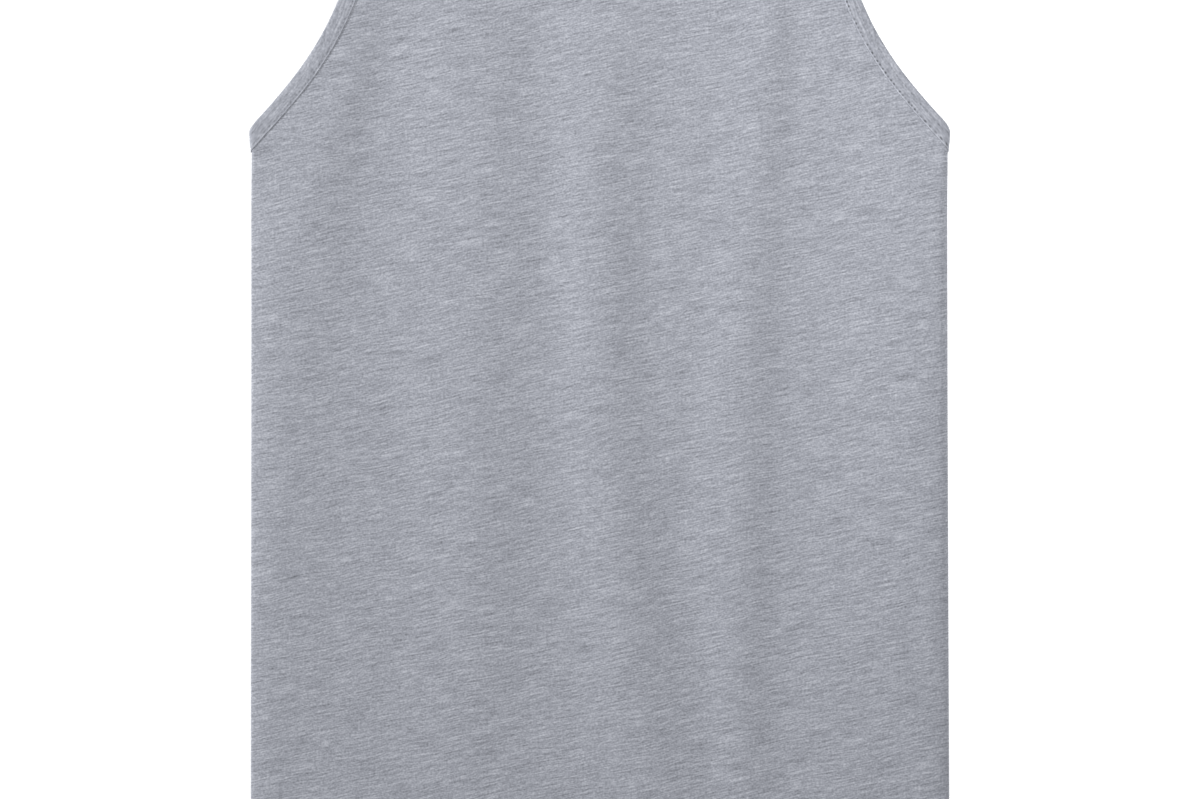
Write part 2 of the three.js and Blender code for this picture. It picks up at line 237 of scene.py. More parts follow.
# The middle of the laid cloth: face is +1 on the front and -1 on the back. It is drawn in
# where it rolls over to the other face at the side and shoulder seams.
def surface(face, x, y):
    front, back = levels(x, y)
    radius = (front - back) / 2
    across = np.abs(x)
    sideRise, sideDraw = rollOver(sideSeam(y) - across, radius)
    below = (neckPoint - np.stack([across, y], 1)) @ shoulderUp
    shoulderRise, shoulderDraw = rollOver(below, radius)
    across = across - sideDraw - shoulderUp[0] * shoulderDraw
    height = (front + back) / 2 + face * radius * sideRise * shoulderRise
    return np.stack([across * np.where(x < 0, -1, 1), y - shoulderUp[1] * shoulderDraw, height], 1)


def normalOf(place, face, x, y):
    step = 0.02
    inStep = np.where(x > 0, -step, step)
    here = place(face, x, y)
    across = (place(face, x + inStep, y) - here) * np.sign(inStep)[:, None]
    along = here - place(face, x, y - step)
    return unit(np.cross(across, along)) * face


# A negative y is the hem's turn-up, round the hem edge and back up inside
def lay(face, x, y):
    turn = np.clip(-y / hemRadius, 0, math.pi)
    up = np.where(y < 0, np.maximum(-y - hemTurn, 0), y)
    point = surface(face, x, up)
    turned = y < 0
    if turned.any():
        normal = normalOf(surface, face, x[turned], up[turned])
        depth = hemRadius * (1 - np.cos(turn[turned]))
        point[turned] -= normal * depth[:, None]
        point[turned, 1] -= hemRadius * np.sin(turn[turned])
    return point


def layer(face, x, y, height):
    return lay(face, x, y) + normalOf(lay, face, x, y) * np.asarray(height, float).reshape(-1, 1)


def toFrame(points):
    return (points - np.array([0, garment["middleY"], 0])) * 0.001


# A closed mesh object with the cut's own coordinates, in metres, as its UV map
def makeCloth(name, points, faces, corners, material):
    first, second, third = (points[faces[:, k]] for k in (0, 1, 2))
    if np.einsum("ij,ij->", np.cross(first, second), third) < 0:
        faces, corners = faces[:, ::-1], corners[:, ::-1]
    mesh = bpy.data.meshes.new(name)
    mesh.from_pydata(toFrame(points).tolist(), [], faces.tolist())
    cut = mesh.uv_layers.new(name="cut")
    cut.data.foreach_set("uv", (corners * 0.001).astype(np.float32).ravel())
    mesh.polygons.foreach_set("use_smooth", np.ones(len(faces), bool))
    mesh.materials.append(material)
    mesh.update()
    piece = bpy.data.objects.new(name, mesh)
    bpy.context.scene.collection.objects.link(piece)
    return piece


print("pattern drafted")


# A binding strip: folded round the raw edge and sewn down with two needle rows. The cloth
# is thinner than the solid's wall, so its legs lie close on the panel. The insets say where
# its section has points, measured from the finished edge.
strip = {
    "spacing": 0.5,
    "cloth": 0.6,
    "clearance": 0.06,
    "foldDepth": 2.0,
    "foldInside": 0.7,
    "foldTurn": {"start": 0.25, "points": 9},
    "bevelTurn": {"start": 0.05, "points": 7},
    "topInsets": (9.5, 9.2, 8.9, 8.5, 8, 7.2, 6.4, 5.6, 5, 4.5, 4, 3.4, 2.7),
    "underInsets": (1.2, 6, 8),
    "lipInside": 0.3,
    "pitch": 3.0,
    "swell": 0.2,
    "swellAt": 6.5,
    "swellSpread": 3.0,
}


# The painted shade and painted highlights are uneven along the strip: spots of this size, in millimetres,
# vary their strength from least to whole. The share below is the share of a painted mark's half width that
# is at full strength.
unevenPaintedShading = {"size": (5, 5), "detail": 1, "rough": 0.5, "seed": 11, "low": 0.3, "high": 0.6, "least": 0.25}
paintCore = 0.35

# How far apart the noise fields lie, in metres for each step of their seed
seedStep = (0.137, 0.071)


# Heather jersey: short light and dark fibres that slant up to the right, on a mid grey
def makeJersey(name, look):
    material = bpy.data.materials.new(name)
    material.use_nodes = True
    tree = material.node_tree
    tree.nodes.clear()

    def node(kind, **settings):
        made = tree.nodes.new(kind)
        made.location = (len(tree.nodes) * 40, 0)
        for key, value in settings.items():
            setattr(made, key, value)
        return made

    def wire(source, target):
        tree.links.new(source, target)

    cut = node("ShaderNodeUVMap", uv_map="cut")

    # The fibres wander, so the cut's coordinates are warped a little before they are used
    wander = node("ShaderNodeTexNoise", noise_dimensions="2D")
    wander.inputs["Scale"].default_value = 1000 / look["wander"]["size"]
    wander.inputs["Detail"].default_value = 1
    wire(cut.outputs["UV"], wander.inputs["Vector"])
    centred = node("ShaderNodeVectorMath", operation="SUBTRACT")
    centred.inputs[1].default_value = (0.5, 0.5, 0.5)
    wire(wander.outputs["Color"], centred.inputs[0])
    warped = node("ShaderNodeVectorMath", operation="MULTIPLY_ADD")
    warped.inputs[1].default_value = [look["wander"]["amount"] * 0.001] * 3
    wire(centred.outputs["Vector"], warped.inputs[0])
    wire(cut.outputs["UV"], warped.inputs[2])

    # Noise stretched to spots or streaks of a size, long by wide, at a slant in degrees
    def noise(size, slant, detail, roughness, seed):
        mapping = node("ShaderNodeMapping", vector_type="TEXTURE")
        mapping.inputs["Rotation"].default_value = (0, 0, math.radians(slant))
        mapping.inputs["Scale"].default_value = (size[0] * 0.001, size[1] * 0.001, 1)
        mapping.inputs["Location"].default_value = (seed * seedStep[0], seed * seedStep[1], 0)
        wire(warped.outputs["Vector"], mapping.inputs["Vector"])
        field = node("ShaderNodeTexNoise", noise_dimensions="2D")
        field.inputs["Scale"].default_value = 1
        field.inputs["Detail"].default_value = detail
        field.inputs["Roughness"].default_value = roughness
        wire(mapping.outputs["Vector"], field.inputs["Vector"])
        return field.outputs["Fac"]

    def add(first, second, amount):
        scaled = node("ShaderNodeMath", operation="MULTIPLY_ADD")
        wire(second, scaled.inputs[0])
        scaled.inputs[1].default_value = amount
        scaled.inputs[2].default_value = 0
        if first is not None:
            wire(first, scaled.inputs[2])
        return scaled.outputs["Value"]

    total = None
    for streak in look["streaks"]:
        field = noise(streak["size"], streak["slant"], streak["detail"], streak["rough"], streak["seed"])
        total = add(total, field, streak["weight"])
    shift = node("ShaderNodeMath", operation="ADD")
    wire(total, shift.inputs[0])
    shift.inputs[1].default_value = 0.5 - sum(streak["weight"] for streak in look["streaks"]) / 2

    ramp = node("ShaderNodeValToRGB")
    stops = look["colours"]
    while len(ramp.color_ramp.elements) < len(stops):
        ramp.color_ramp.elements.new(0.5)
    for element, (at, colour) in zip(ramp.color_ramp.elements, stops):
        element.position = at
        element.color = (*colour, 1)
    wire(shift.outputs["Value"], ramp.inputs["Fac"])

    def maths(operation, first, second):
        made = node("ShaderNodeMath", operation=operation)
        wire(first, made.inputs[0])
        made.inputs[1].default_value = second
        return made.outputs["Value"]

    # Each painted mark darkens the cloth as painted shade, or pales it as a painted highlight, in ovals a
    # pitch apart or in one long line
    colour = ramp.outputs["Color"]
    if look["paintedShading"]:
        parts = node("ShaderNodeSeparateXYZ")
        wire(cut.outputs["UV"], parts.inputs["Vector"])
        spots = unevenPaintedShading
        uneven = node("ShaderNodeMapRange")
        wire(noise(spots["size"], 0, spots["detail"], spots["rough"], spots["seed"]), uneven.inputs["Value"])
        uneven.inputs["From Min"].default_value = spots["low"]
        uneven.inputs["From Max"].default_value = spots["high"]
        uneven.inputs["To Min"].default_value = spots["least"]
    for mark in look["paintedShading"]:
        oval = node("ShaderNodeCombineXYZ")
        across = maths("SUBTRACT", parts.outputs["Y"], mark["at"] * 0.001)
        halfWide = mark["wide"] * 0.001 / 2
        wire(maths("MULTIPLY", across, 1 / halfWide), oval.inputs["Y"])
        if mark["long"]:
            halfPitch, halfLong = strip["pitch"] * 0.001 / 2, mark["long"] * 0.001 / 2
            along = maths("PINGPONG", parts.outputs["X"], halfPitch)
            wire(maths("MULTIPLY", along, 1 / halfLong), oval.inputs["X"])
        away = node("ShaderNodeVectorMath", operation="LENGTH")
        wire(oval.outputs["Vector"], away.inputs[0])
        fall = node("ShaderNodeMapRange", interpolation_type="SMOOTHSTEP")
        wire(away.outputs["Value"], fall.inputs["Value"])
        fall.inputs["From Min"].default_value = paintCore
        fall.inputs["To Min"].default_value = -mark["dark"]
        fall.inputs["To Max"].default_value = 0
        some = node("ShaderNodeMath", operation="MULTIPLY_ADD")
        wire(fall.outputs["Result"], some.inputs[0])
        wire(uneven.outputs["Result"], some.inputs[1])
        some.inputs[2].default_value = 1
        shaded = node("ShaderNodeVectorMath", operation="SCALE")
        wire(colour, shaded.inputs[0])
        wire(some.outputs["Value"], shaded.inputs["Scale"])
        colour = shaded.outputs["Vector"]

    shader = node("ShaderNodeBsdfPrincipled")
    shader.inputs["Roughness"].default_value = look["roughness"]
    shader.inputs["Sheen Weight"].default_value = look["sheen"]
    shader.inputs["Sheen Roughness"].default_value = look["sheenRoughness"]
    shader.inputs["Specular IOR Level"].default_value = look["specular"]
    wire(colour, shader.inputs["Base Color"])

    # Faint bands run up the cloth, under the fibres' own relief. At scale 1 the texture's
    # bands are 314 mm wide.
    bands = node("ShaderNodeTexWave", wave_type="BANDS", bands_direction="X")
    bands.inputs["Scale"].default_value = 314 / look["bandWidth"]
    bands.inputs["Distortion"].default_value = look["bandWander"]
    bands.inputs["Detail"].default_value = 1
    wire(cut.outputs["UV"], bands.inputs["Vector"])
    relief = add(total, bands.outputs["Fac"], look["bandDepth"])
    bump = node("ShaderNodeBump")
    bump.inputs["Strength"].default_value = look["bump"]
    bump.inputs["Distance"].default_value = look["bumpHeight"] * 0.001
    wire(relief, bump.inputs["Height"])
    wire(bump.outputs["Normal"], shader.inputs["Normal"])
    out = node("ShaderNodeOutputMaterial")
    wire(shader.outputs["BSDF"], out.inputs["Surface"])
    return material


jerseyLook = {
    "wander": {"size": 45, "amount": 4},
    "streaks": [
        {"size": (20, 1.0), "slant": 12, "detail": 0, "rough": 0.5, "weight": 0.38, "seed": 1},
        {"size": (7, 0.9), "slant": 14, "detail": 0, "rough": 0.5, "weight": 0.34, "seed": 4},
        {"size": (2.2, 1.0), "slant": 10, "detail": 0, "rough": 0.5, "weight": 0.3, "seed": 5},
        {"size": (36, 9), "slant": 10, "detail": 3, "rough": 0.6, "weight": 0.22, "seed": 7},
        {"size": (1.2, 1.1), "slant": 0, "detail": 0, "rough": 0.5, "weight": 0.38, "seed": 9},
    ],
    "colours": [
        (0.0, (0.13, 0.135, 0.155)),
        (0.5, (0.30, 0.312, 0.352)),
        (1.0, (0.52, 0.535, 0.585)),
    ],
    "roughness": 0.95,
    "sheen": 0.12,
    "sheenRoughness": 0.5,
    "specular": 0.2,
    "bandWidth": 5.6549,
    "bandDepth": 0.25,
    "bandWander": 1.5,
    "bump": 0.2,
    "bumpHeight": 0.4,
    "paintedShading": [],
}
bindingLook = dict(jerseyLook, streaks=[
    {"size": (9, 1.2), "slant": 4, "detail": 0, "rough": 0.5, "weight": 0.28, "seed": 2},
    {"size": (3.2, 1.3), "slant": 0, "detail": 0, "rough": 0.5, "weight": 0.32, "seed": 3},
    {"size": (14, 6), "slant": 0, "detail": 2, "rough": 0.6, "weight": 0.28, "seed": 6},
    {"size": (1.4, 1.3), "slant": 0, "detail": 0, "rough": 0.5, "weight": 0.34, "seed": 8},
])
jersey = makeJersey("heatherJersey", jerseyLook)


# The thread's two tones come in spots 0.4 mm in size, which is 2500 to a metre
threadLook = {"roughness": 0.7, "twist": 2500,
              "tones": [(0.3, (0.24, 0.25, 0.285)), (0.7, (0.33, 0.343, 0.385))]}


def makeThreadMaterial():
    material = bpy.data.materials.new("greyThread")
    material.use_nodes = True
    tree = material.node_tree
    shader = tree.nodes["Principled BSDF"]
    shader.inputs["Roughness"].default_value = threadLook["roughness"]
    coordinates = tree.nodes.new("ShaderNodeTexCoord")
    twist = tree.nodes.new("ShaderNodeTexNoise")
    twist.inputs["Scale"].default_value = threadLook["twist"]
    tree.links.new(coordinates.outputs["Object"], twist.inputs["Vector"])
    ramp = tree.nodes.new("ShaderNodeValToRGB")
    for element, (at, colour) in zip(ramp.color_ramp.elements, threadLook["tones"]):
        element.position = at
        element.color = (*colour, 1)
    tree.links.new(twist.outputs["Fac"], ramp.inputs["Fac"])
    tree.links.new(ramp.outputs["Color"], shader.inputs["Base Color"])
    return material


thread = makeThreadMaterial()
print("materials mixed")


def evenSteps(start, end, spacing):
    return np.linspace(start, end, max(int(math.ceil(abs(end - start) / spacing)), 1) + 1)


# A panel: skirt rows up to the armpit, chest rows that bend up to the neck's bottom
# curve, then two straps. Rows are closer together at hem, seams and stitching.
panelDetail = {
    "front": {"column": 4.2, "row": 5, "chestRow": 4.5, "strapColumns": 14,
              "armholeShare": 0.7, "neckShare": 0.6},
    "back": {"column": 6, "row": 8, "chestRow": 6, "strapColumns": 10,
             "armholeShare": 0.84, "neckShare": 0.7},
    "roll": [0.06, 0.4, 0.8, 1.4, 2.1, 2.9, 3.8, 5, 7],
    "hemRows": [0, 1.5, 4, 8, 12, 13.8, 14.8, 15.8, 18, 19, 20, 21, 22, 23, 24, 25.5, 27, 29, 32, 36],
    "turnRows": 6,
    "armpitRows": [0.5, 1, 1.6, 2.3, 3.1, 4, 5.2, 7],
    "strapRoll": 9,
    "hemNeedles": (14.8, 20),
    "needleDip": 0.22,
    "needleSpread": 0.9,
    "seamDip": 0.25,
    "seamSpread": 0.8,
}


def panelRows(neck, plan):
    detail = panelDetail
    pattern, squares = [], []

    def addRow(points):
        first = sum(len(row) for row in pattern)
        pattern.append(points)
        return np.arange(first, first + len(points))

    roll = np.array(detail["roll"])
    fromSeam = np.append(roll, evenSteps(roll[-1], garment["armpitHalfWidth"], plan["column"])[1:])
    half = len(fromSeam) - 1
    columns = 2 * half

    def mirrorRow(right):
        right[-1, 0] = 0
        left = right * np.array([-1, 1])
        return np.concatenate([left, right[:-1][::-1]])

    def straightRow(y):
        across = np.maximum(sideSeam(np.array(max(y, 0.0))) - fromSeam, 0)
        return mirrorRow(np.stack([across, np.full(len(across), float(y))], 1))

    def strips(rowList):
        for below, above in zip(rowList[:-1], rowList[1:]):
            squares.append(np.stack([below[:-1], below[1:], above[1:], above[:-1]], 1))

    armpitRow = onEdge(armhole, 0, rawInset)[0, 1]
    turnUp = [-hemTurn - garment["hemDepth"], -hemTurn - garment["hemDepth"] / 2]
    turn = [-hemTurn * row / detail["turnRows"] for row in range(detail["turnRows"], 0, -1)]
    skirtRows = evenSteps(detail["hemRows"][-1], armpitRow, plan["row"])[1:]
    heights = [*turnUp, *turn, *detail["hemRows"], *skirtRows]
    skirt = [addRow(straightRow(y)) for y in heights]
    strips(skirt)

    strapColumns = plan["strapColumns"]
    strapFoot = plan["armholeShare"] * armhole["length"]
    neckFoot = plan["neckShare"] * neck["length"]
    foot = onEdge(armhole, strapFoot, rawInset)[0]
    neckFootPoint = onEdge(neck, neckFoot, rawInset)[0]
    shares = np.linspace(0, 1, strapColumns + 1)[:, None]
    strapPart = blend(foot, neckFootPoint, shares)
    neckColumns = half - strapColumns
    neckPart = onEdge(neck, neckFoot * np.linspace(1, 0, neckColumns + 1)[1:], np.full(neckColumns, rawInset))
    topRow = mirrorRow(np.concatenate([strapPart, neckPart]))
    bottomRow = straightRow(armpitRow)

    nearArmpit = detail["armpitRows"]
    steps = [*nearArmpit, *evenSteps(nearArmpit[-1], strapFoot, plan["chestRow"])[1:]]
    rightward = (2 * np.arange(columns + 1) / columns - 1)[:, None]
    chest = []
    for distance in steps:
        share = distance / strapFoot
        bow = onEdge(armhole, distance, rawInset)[0] - blend(bottomRow[-1], topRow[-1], share)
        bowed = np.concatenate([bow[0] * rightward, np.full_like(rightward, bow[1])], 1)
        chest.append(addRow(blend(bottomRow, topRow, share) + bowed))
    strips([skirt[-1], *chest])

    strapLength = armhole["length"] - strapFoot
    lowSteps = evenSteps(0, strapLength - detail["strapRoll"], plan["chestRow"])[1:]
    strapSteps = [*lowSteps, *(strapLength - roll[::-1])]
    chestTop = chest[-1]
    rightStrap, leftStrap = [chestTop[::-1][: strapColumns + 1]], [chestTop[: strapColumns + 1]]
    for distance in strapSteps:
        outer = onEdge(armhole, strapFoot + distance, rawInset)[0]
        inner = onEdge(neck, blend(neckFoot, neck["length"], distance / strapLength), rawInset)[0]
        row = blend(outer, inner, shares)
        rightStrap.append(addRow(row))
        leftStrap.append(addRow(row * np.array([-1, 1])))
    strips([row[::-1] for row in rightStrap])
    strips(leftStrap)
    return np.concatenate(pattern), np.concatenate(squares)


# The outside is pressed in a little along the seams and the hem's needle rows
def pressedIn(x, y):
    across = np.abs(x)
    toSide = np.where(y < garment["armpitHeight"], sideSeam(y) - across, np.inf)
    toShoulder = (neckPoint - np.stack([across, y], 1)) @ shoulderUp
    toSeam = np.minimum(toSide, toShoulder)
    dip = panelDetail["seamDip"] * np.exp(-((toSeam / panelDetail["seamSpread"]) ** 2))
    for row in panelDetail["hemNeedles"]:
        dip = dip + panelDetail["needleDip"] * np.exp(-(((y - row) / panelDetail["needleSpread"]) ** 2))
    return dip


def makePanel(name, face, neck, plan):
    pattern, squares = panelRows(neck, plan)
    x, y = pattern[:, 0], pattern[:, 1]
    half = garment["wall"] / 2
    outside = layer(face, x, y, half - pressedIn(x, y))
    inside = layer(face, x, y, np.full(len(x), -half))
    edges = np.concatenate([squares[:, [k, (k + 1) % 4]] for k in range(4)])
    count = len(pattern)
    forward = edges[:, 0] * count + edges[:, 1]
    backward = edges[:, 1] * count + edges[:, 0]
    rim = edges[~np.isin(forward, backward)]
    rimFaces = np.stack([rim[:, 1], rim[:, 0], rim[:, 0] + count, rim[:, 1] + count], 1)
    faces = np.concatenate([squares, squares[:, ::-1] + count, rimFaces])
    cut = np.concatenate([pattern, pattern])
    return makeCloth(name, np.concatenate([outside, inside]), faces, cut[faces], jersey)


frontPanel = makePanel("frontPanel", 1, frontNeck, panelDetail["front"])
backPanel = makePanel("backPanel", -1, backNeck, panelDetail["back"])
print("panels laid", len(frontPanel.data.polygons), len(backPanel.data.polygons))

# Needle rows on the strips. The last two sizes give the painted shade at each needle hole: a darker oval in
# the colour where the hole lies in shade.
needleRows = [
    {"inset": 9.5, "dip": 0.08, "hole": 0.4, "spread": 0.45, "shadeLong": 2.4, "shadeWide": 1.8},
    {"inset": 4.5, "dip": 0.05, "hole": 0.12, "spread": 0.6, "shadeLong": 2.6, "shadeWide": 1.7},
]

# How a strip's lip lies on the panel: the width of its bevel, the air under it, how much paler its fold is
# painted as a painted highlight and how far down the bevel, how dark the painted shade at its foot is,
# and how dark the painted shade at the two needle rows is
lips = {
    "crisp": {"width": 0.7, "air": 0.18, "pale": 0.2, "paleAt": -0.2, "foot": 0.4, "paintedShading": (0.12, 0.1)},
    "drawn": {"width": 1.1, "air": 0, "pale": 0.3, "paleAt": 0.6, "foot": 0, "paintedShading": (0.6, 0.35)},
}
# The width of the painted highlight line along a fold and of the painted shade line at a foot
paintedLineWidth = 1.2
legIn = garment["wall"] / 2 + strip["clearance"]
legOut = legIn + strip["cloth"]


# The strip's section as (inset, height off the middle of the panel, share of the needle
# dips it takes), round from the top leg's inner end to the bottom leg's
def stripSection(lip):
    fold, inside = strip["foldDepth"], strip["foldInside"]
    lipTop = bindingWidth - lip["width"]
    foot = garment["wall"] / 2 + lip["air"]
    bevel, turn = strip["bevelTurn"], strip["foldTurn"]
    bevelAngles = np.linspace(bevel["start"], math.pi / 2, bevel["points"])
    foldAngles = np.linspace(turn["start"], math.pi - turn["start"], turn["points"])
    leg = [(lipTop + lip["width"] * math.cos(a), foot + (legOut - foot) * math.sin(a), math.sin(a) ** 2)
           for a in bevelAngles]
    leg += [(inset, legOut, 1) for inset in strip["topInsets"]]
    outer = leg + [(fold - fold * math.sin(a), legOut * math.cos(a), 0) for a in foldAngles]
    outer += [(inset, -height, -share) for inset, height, share in leg[::-1]]
    under = [(inset, legIn, 0) for inset in (*strip["underInsets"], lipTop + strip["lipInside"])]
    inner = [(inset, -height, 0) for inset, height, share in under[::-1]]
    inner += [(inside, -legIn * 0.5, 0), (inside, legIn * 0.5, 0), *under]
    return np.array(outer + inner)


# The way round the section to each of its points
def wayRound(section):
    steps = np.linalg.norm(np.diff(section[:, :2], axis=0), axis=1)
    return np.concatenate([[0], np.cumsum(steps)])


# Painted shade at both needle rows on both legs, and each lip's painted highlight along its fold and painted
# shade at its foot. at is the way round the section to the mark.
def stripPaintedShading(lip):
    section = stripSection(lip)
    around = wayRound(section)
    onLeg = section[:, 2] != 0
    paintedShading = []
    for row, share in zip(needleRows, lip["paintedShading"]):
        for place in np.flatnonzero((section[:, 0] == row["inset"]) & onLeg):
            paintedShading.append({"long": row["shadeLong"], "wide": row["shadeWide"],
                          "at": float(around[place]), "dark": share})
    lipTop = bindingWidth - lip["width"]
    for place in np.flatnonzero(np.isclose(section[:, 0], lipTop) & onLeg):
        at = float(around[place]) - math.copysign(lip["paleAt"], section[place, 1])
        paintedShading.append({"long": None, "wide": paintedLineWidth, "at": at, "dark": -lip["pale"]})
    if lip["foot"]:
        lastFoot = np.flatnonzero(section[:, 2] < 0)[-1]
        for at in (0, float(around[lastFoot])):
            paintedShading.append({"long": None, "wide": paintedLineWidth, "at": at, "dark": lip["foot"]})
    return paintedShading


# How deep the needle rows draw the strip in, less the swell of the cloth between them
def stripDips(inset, along):
    dip = np.zeros(len(inset))
    hole = (0.5 + 0.5 * np.cos(2 * math.pi * along / strip["pitch"])) ** 3
    for row in needleRows:
        dip += np.exp(-(((inset - row["inset"]) / row["spread"]) ** 2)) * (row["dip"] + row["hole"] * hole)
    swell = np.exp(-(((inset - strip["swellAt"]) / strip["swellSpread"]) ** 2)) * strip["swell"]
    return dip - swell


# At the armpit the strip's corner stands out past the side seam and its tip is tucked in
armpitCorner = {"start": 217, "end": 230, "height": 473, "spread": 8, "out": 1.0,
                "tipHeight": 459, "tipSpread": 4, "tuck": 0.15}


def cornerOut(points):
    look = armpitCorner
    share = smooth(np.abs(points[:, 0]), look["start"], look["end"])
    out = look["out"] * np.exp(-(((points[:, 1] - look["height"]) / look["spread"]) ** 2))
    tuck = look["tuck"] * np.exp(-(((points[:, 1] - look["tipHeight"]) / look["tipSpread"]) ** 2))
    moved = points.copy()
    moved[:, 0] += np.sign(points[:, 0]) * share * (out - tuck)
    return moved


# The strip runs round a ring of edges, each (edge, face, side, forward), and closes on itself
def makeBinding(name, runs, lip, cloth):
    section = stripSection(lip)
    width = len(section)
    points, alongs = [], []
    passed = 0
    for edge, face, side, forward in runs:
        distances = evenSteps(0, edge["length"], strip["spacing"])
        distances = distances[:-1] if forward else distances[:0:-1]
        point, inward = edgeAt(edge, distances)
        travelled = passed + np.abs(distances - distances[0])
        inset = easedInset(edge, np.repeat(distances, width), np.tile(section[:, 0], len(point)))
        at = np.repeat(point, width, 0) + np.repeat(inward, width, 0) * inset[:, None]
        dips = np.tile(section[:, 2], len(point)) * stripDips(inset, np.repeat(travelled, width))
        height = np.tile(section[:, 1], len(point)) - dips
        points.append(cornerOut(layer(face, at[:, 0] * side, at[:, 1], height)))
        alongs.append(travelled)
        passed += edge["length"]
    alongs = np.append(np.concatenate(alongs), passed)
    stationCount = len(alongs) - 1
    around = wayRound(section)
    around = np.append(around, around[-1] + strip["spacing"])
    here, k = np.meshgrid(np.arange(stationCount), np.arange(width), indexing="ij")
    here, k = here.ravel(), k.ravel()
    after, up = (here + 1) % stationCount, (k + 1) % width
    faces = np.stack([here * width + k, after * width + k, after * width + up, here * width + up], 1)
    corners = np.stack([
        np.stack([alongs[here], around[k]], 1), np.stack([alongs[here + 1], around[k]], 1),
        np.stack([alongs[here + 1], around[k + 1]], 1), np.stack([alongs[here], around[k + 1]], 1)], 1)
    return makeCloth(name, np.concatenate(points), faces, corners, cloth)


def armholeRuns(side):
    return [(armhole, 1, side, True), (armhole, -1, side, False)]


neckRuns = [(frontNeck, 1, 1, True), (backNeck, -1, 1, False),
            (backNeck, -1, -1, True), (frontNeck, 1, -1, False)]
# The needle drew the right armhole's strip in more than the others. Its own copy of the binding cloth has
# stronger painted shade at the needle holes and a stronger painted highlight on its fold, where its lip faces
# the light; the other copy has painted shade at the lip's foot.
crispPaintedCloth = makeJersey("heatherBinding", dict(bindingLook, paintedShading=stripPaintedShading(lips["crisp"])))
drawnPaintedCloth = makeJersey("heatherBindingDrawn", dict(bindingLook, paintedShading=stripPaintedShading(lips["drawn"])))
leftBinding = makeBinding("leftArmholeBinding", armholeRuns(-1), lips["crisp"], crispPaintedCloth)
rightBinding = makeBinding("rightArmholeBinding", armholeRuns(1), lips["drawn"], drawnPaintedCloth)
neckBinding = makeBinding("neckBinding", neckRuns, lips["crisp"], crispPaintedCloth)
print("bindings folded", len(neckBinding.data.polygons), len(leftBinding.data.polygons))

stitch = {
    "length": 1.7,
    "radius": 0.2,
    "sides": 6,
    "sunk": 0.06,
    "straight": 0.6,
    "dive": 1.2,
    "taper": 0.6,
    "edgeMargin": 0.5,
    "seamMargin": 1.5,
}
# Directions along a row are taken over this much either way
aside = 0.3


# One stitch: a short thread whose ends dive into the cloth
def modelStitch():
    bpy.ops.object.select_all(action="DESELECT")
    bpy.ops.mesh.primitive_cylinder_add(
        vertices=stitch["sides"], radius=stitch["radius"], depth=stitch["length"] * stitch["straight"],
        end_fill_type="NGON", rotation=(0, math.pi / 2, 0))
    model = bpy.context.object
    bpy.ops.object.transform_apply(location=True, rotation=True, scale=True)
    for direction in (-1, 1):
        bpy.ops.object.mode_set(mode="EDIT")
        bpy.ops.mesh.select_mode(type="FACE")
        bpy.ops.mesh.select_all(action="DESELECT")
        bpy.ops.object.mode_set(mode="OBJECT")
        for face in model.data.polygons:
            face.select = face.normal.x * direction > 0.9
        bpy.ops.object.mode_set(mode="EDIT")
        reach = stitch["length"] * (1 - stitch["straight"]) / 2
        move = (direction * reach, 0, -stitch["radius"] * stitch["dive"])
        bpy.ops.mesh.extrude_region_move(TRANSFORM_OT_translate={"value": move})
        bpy.ops.transform.resize(value=(1, stitch["taper"], stitch["taper"]))
        bpy.ops.object.mode_set(mode="OBJECT")
    points = np.array([v.co for v in model.data.vertices], float)
    faces = [list(face.vertices) for face in model.data.polygons]
    bpy.data.objects.remove(model)
    return points, faces


stitchPoints, stitchFaces = modelStitch()


# Rows of stitches: centre, direction and normal of each, joined into one mesh
def sewRows(name, rows):
    centres = np.concatenate([row[0] for row in rows])
    forward = unit(np.concatenate([row[1] for row in rows]))
    normal = np.concatenate([row[2] for row in rows])
    sideways = unit(np.cross(normal, forward))
    normal = np.cross(forward, sideways)
    points = centres[:, None]
    for k, axis in enumerate((forward, sideways, normal)):
        points = points + stitchPoints[None, :, k, None] * axis[:, None]
    count = len(stitchPoints)
    faces = [[corner + number * count for corner in face]
             for number in range(len(centres)) for face in stitchFaces]
    mesh = bpy.data.meshes.new(name)
    mesh.from_pydata(toFrame(points.reshape(-1, 3)).tolist(), [], faces)
    mesh.polygons.foreach_set("use_smooth", np.ones(len(faces), bool))
    mesh.materials.append(thread)
    mesh.update()
    piece = bpy.data.objects.new(name, mesh)
    bpy.context.scene.collection.objects.link(piece)
    return piece


# One needle row on a strip's outer leg. The stitches lie between the holes, offset along
# the edge so that they keep their pitch from one edge of the ring to the next.
def rowOnEdge(edge, face, side, row, offset):
    at = np.arange(strip["pitch"] / 2 + offset, edge["length"] - stitch["edgeMargin"], strip["pitch"])
    inset = np.full(len(at), row["inset"])
    swell = strip["swell"] * math.exp(-(((row["inset"] - strip["swellAt"]) / strip["swellSpread"]) ** 2))
    height = np.full(len(at), legOut - row["dip"] - stitch["sunk"] + swell)

    def place(distance):
        point = onEdge(edge, distance, inset)
        return cornerOut(layer(face, point[:, 0] * side, point[:, 1], height))

    middle = onEdge(edge, at, inset)
    normal = normalOf(lay, face, middle[:, 0] * side, middle[:, 1])
    return place(at), place(at + aside) - place(at - aside), normal


def rowOnHem(face, y):
    reach = sideSeam(np.array(float(y))) - stitch["seamMargin"]
    at = np.arange(-reach, reach, strip["pitch"])
    up = np.full(len(at), float(y))
    height = np.full(len(at), garment["wall"] / 2 - panelDetail["needleDip"])
    along = layer(face, at + aside, up, height) - layer(face, at - aside, up, height)
    return layer(face, at, up, height), along, normalOf(lay, face, at, up)


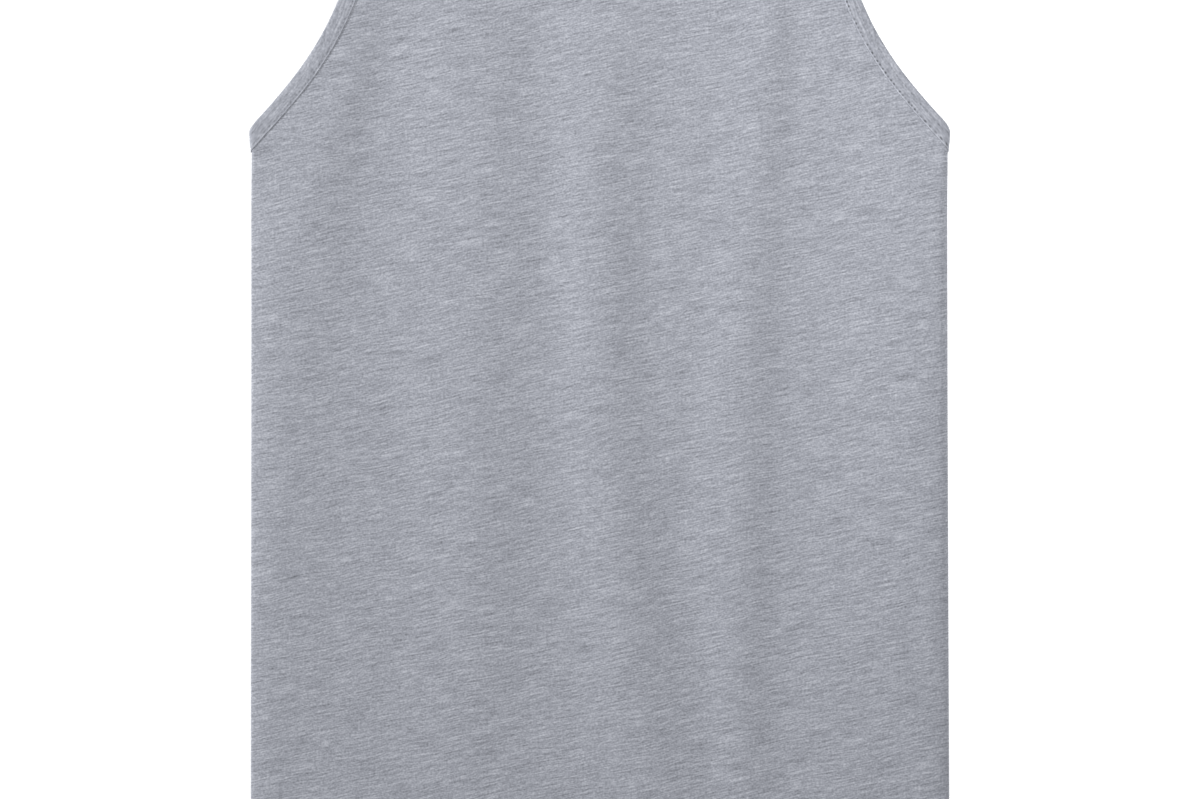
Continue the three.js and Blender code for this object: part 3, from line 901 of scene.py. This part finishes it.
def sewBinding(name, runs):
    rows = []
    passed = 0
    for edge, face, side, forward in runs:
        offset = (-passed if forward else passed + edge["length"]) % strip["pitch"]
        passed += edge["length"]
        for row in needleRows:
            rows.append(rowOnEdge(edge, face, side, row, offset))
    return sewRows(name, rows)


leftStitches = sewBinding("leftArmholeStitches", armholeRuns(-1))
rightStitches = sewBinding("rightArmholeStitches", armholeRuns(1))
neckStitches = sewBinding("neckStitches", neckRuns)
frontHem = sewRows("frontHemStitches", [rowOnHem(1, y) for y in panelDetail["hemNeedles"]])
backHem = sewRows("backHemStitches", [rowOnHem(-1, y) for y in panelDetail["hemNeedles"]])
print("stitches sewn", len(neckStitches.data.polygons))

pieces = {
    "front_panel": (frontPanel, "jersey", [frontHem]),
    "back_panel": (backPanel, "jersey", [backHem]),
    "neck_binding": (neckBinding, "binding", [neckStitches]),
    "left_armhole_binding": (leftBinding, "binding", [leftStitches]),
    "right_armhole_binding": (rightBinding, "binding", [rightStitches]),
}
for node, (piece, slot, sewn) in pieces.items():
    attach(piece, "root")
    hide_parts(node)
    for threads in sewn:
        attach(threads, "root")

print("pieces placed")


# The floor glows a little, so that it is pure white in the picture
floorLook = {"size": 16, "below": 0.0004, "tone": 0.9, "glow": 0.36, "roughness": 0.9, "specular": 0.1}


def makeFloor():
    bpy.ops.object.select_all(action="DESELECT")
    bpy.ops.mesh.primitive_plane_add(size=floorLook["size"], location=(0, 0, -floorLook["below"]))
    floor = bpy.context.object
    floor.name = "floor"
    material = bpy.data.materials.new("paleFloor")
    material.use_nodes = True
    shader = material.node_tree.nodes["Principled BSDF"]
    shader.inputs["Base Color"].default_value = (*[floorLook["tone"]] * 3, 1)
    shader.inputs["Emission Color"].default_value = (1, 1, 1, 1)
    shader.inputs["Emission Strength"].default_value = floorLook["glow"]
    shader.inputs["Roughness"].default_value = floorLook["roughness"]
    shader.inputs["Specular IOR Level"].default_value = floorLook["specular"]
    floor.data.materials.append(material)


# Lights, in metres and watts: a key low on the left and a nearer one above, up and to the
# right, which is soft
lights = [
    {"name": "key", "place": (-3.1, 0.6, 1.3), "size": 0.4, "power": 108},
    {"name": "top", "place": (0.5, 0.5, 1.1), "size": 0.6, "power": 12.2},
]
skyStrength = 0.29


def makeLights():
    for look in lights:
        data = bpy.data.lights.new(look["name"], "AREA")
        data.shape = "DISK"
        data.size = look["size"]
        data.energy = look["power"]
        lamp = bpy.data.objects.new(look["name"], data)
        lamp.location = look["place"]
        lamp.rotation_euler = (-Vector(look["place"])).to_track_quat("-Z", "Y").to_euler()
        bpy.context.scene.collection.objects.link(lamp)
    world = bpy.data.worlds.new("studio")
    world.use_nodes = True
    background = world.node_tree.nodes["Background"]
    background.inputs["Color"].default_value = (1, 1, 1, 1)
    background.inputs["Strength"].default_value = skyStrength
    bpy.context.scene.world = world
    bpy.context.scene.view_settings.view_transform = "Standard"


# Seen from straight above. The picture's pixels have their true size on the cloth, which is
# a little above the table.
view = {"pixels": 1200, "pixelMm": 0.659, "centreHeight": 294.9, "clothHeight": 0.004,
        "lens": 100, "sensor": 36}


def makeCamera():
    data = bpy.data.cameras.new("camera")
    data.lens = view["lens"]
    data.sensor_width = view["sensor"]
    camera = bpy.data.objects.new("camera", data)
    distance = view["pixels"] * view["pixelMm"] * 0.001 * view["lens"] / view["sensor"]
    height = distance + view["clothHeight"]
    camera.location = (0, (view["centreHeight"] - garment["middleY"]) * 0.001, height)
    bpy.context.scene.collection.objects.link(camera)
    bpy.context.scene.camera = camera


makeFloor()
makeLights()
makeCamera()
print("studio set")
